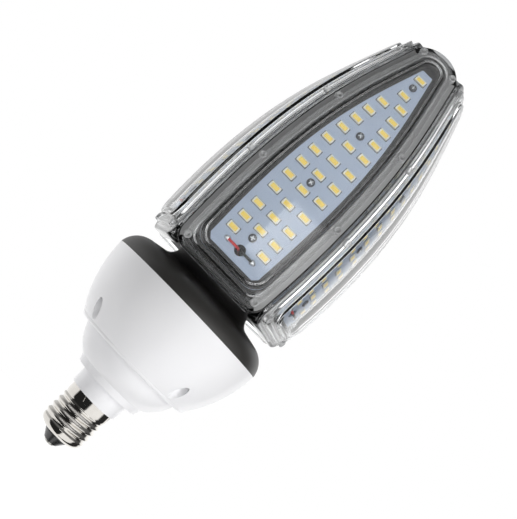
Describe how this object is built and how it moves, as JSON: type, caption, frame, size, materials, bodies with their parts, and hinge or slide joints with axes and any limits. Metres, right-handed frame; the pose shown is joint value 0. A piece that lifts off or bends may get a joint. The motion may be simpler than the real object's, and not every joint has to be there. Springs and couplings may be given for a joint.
{
  "type": "corn led bulb",
  "caption": "Corn-style LED bulb: curved light panels under clear covers round a dark metal core, on a collar, a white driver housing and a screw cap",
  "frame": {"origin": "the flat tip of the centre contact, on the lamp's axis", "axes": "+Z runs along the lamp's axis from the cap to the far end, the first light panel faces -Y, and +X is to the right of a viewer who looks at that panel with the cap down"},
  "size_m": [0.1014, 0.1007, 0.283],
  "materials": {
    "black_epoxy": "moulded epoxy",
    "black_insulation": "black insulation",
    "black_rubber": "matt",
    "cap_insulator": "black vitreous insulator",
    "capacitor_sleeve": "black sleeve",
    "clear_cover": "clear polycarbonate",
    "contact": "plated contact",
    "copper_winding": "enamelled copper",
    "dark_collar": "satin dark paint on die casting",
    "dark_core": "dark anodised casting",
    "driver_board": "green solder resist",
    "grey_seal": "matt",
    "led_cases": "cream case with yellow phosphor",
    "light_board": "pale lacquer on aluminium board",
    "mains_insulation": "white insulation",
    "nickel_cap": "bright nickel plate",
    "red_insulation": "red insulation",
    "solder": "bright solder",
    "steel_screws": "zinc-plated steel",
    "transformer_tape": "yellow tape round a ferrite",
    "white_housing": "gloss white moulding"
  },
  "bodies": {
    "root": {"black_leads": "black_insulation", "board_screws": "steel_screws", "bridge_rectifier": "black_epoxy", "cap_contact": "contact", "cap_insulator": "cap_insulator", "cap_shell": "nickel_cap", "collar": "dark_collar", "collar_screws": "steel_screws", "core": "dark_core", "cover_1": "clear_cover", "cover_2": "clear_cover", "cover_3": "clear_cover", "cover_4": "clear_cover", "cover_5": "clear_cover", "cover_seal_1": "grey_seal", "cover_seal_2": "grey_seal", "cover_seal_3": "grey_seal", "cover_seal_4": "grey_seal", "cover_seal_5": "grey_seal", "driver_board": "driver_board", "driver_board_screws": "steel_screws", "driver_housing": "white_housing", "filter_choke": "copper_winding", "housing_screws": "steel_screws", "housing_seal": "black_rubber", "input_capacitor": "capacitor_sleeve", "led_board_1": "light_board", "led_board_2": "light_board", "led_board_3": "light_board", "led_board_4": "light_board", "led_board_5": "light_board", "leds_1": "led_cases", "leds_2": "led_cases", "leds_3": "led_cases", "leds_4": "led_cases", "leds_5": "led_cases", "line_fuse": "black_epoxy", "mains_leads": "mains_insulation", "output_capacitor": "capacitor_sleeve", "red_leads": "red_insulation", "solder_joints": "solder", "transformer": "transformer_tape"}
  },
  "joints": []
}
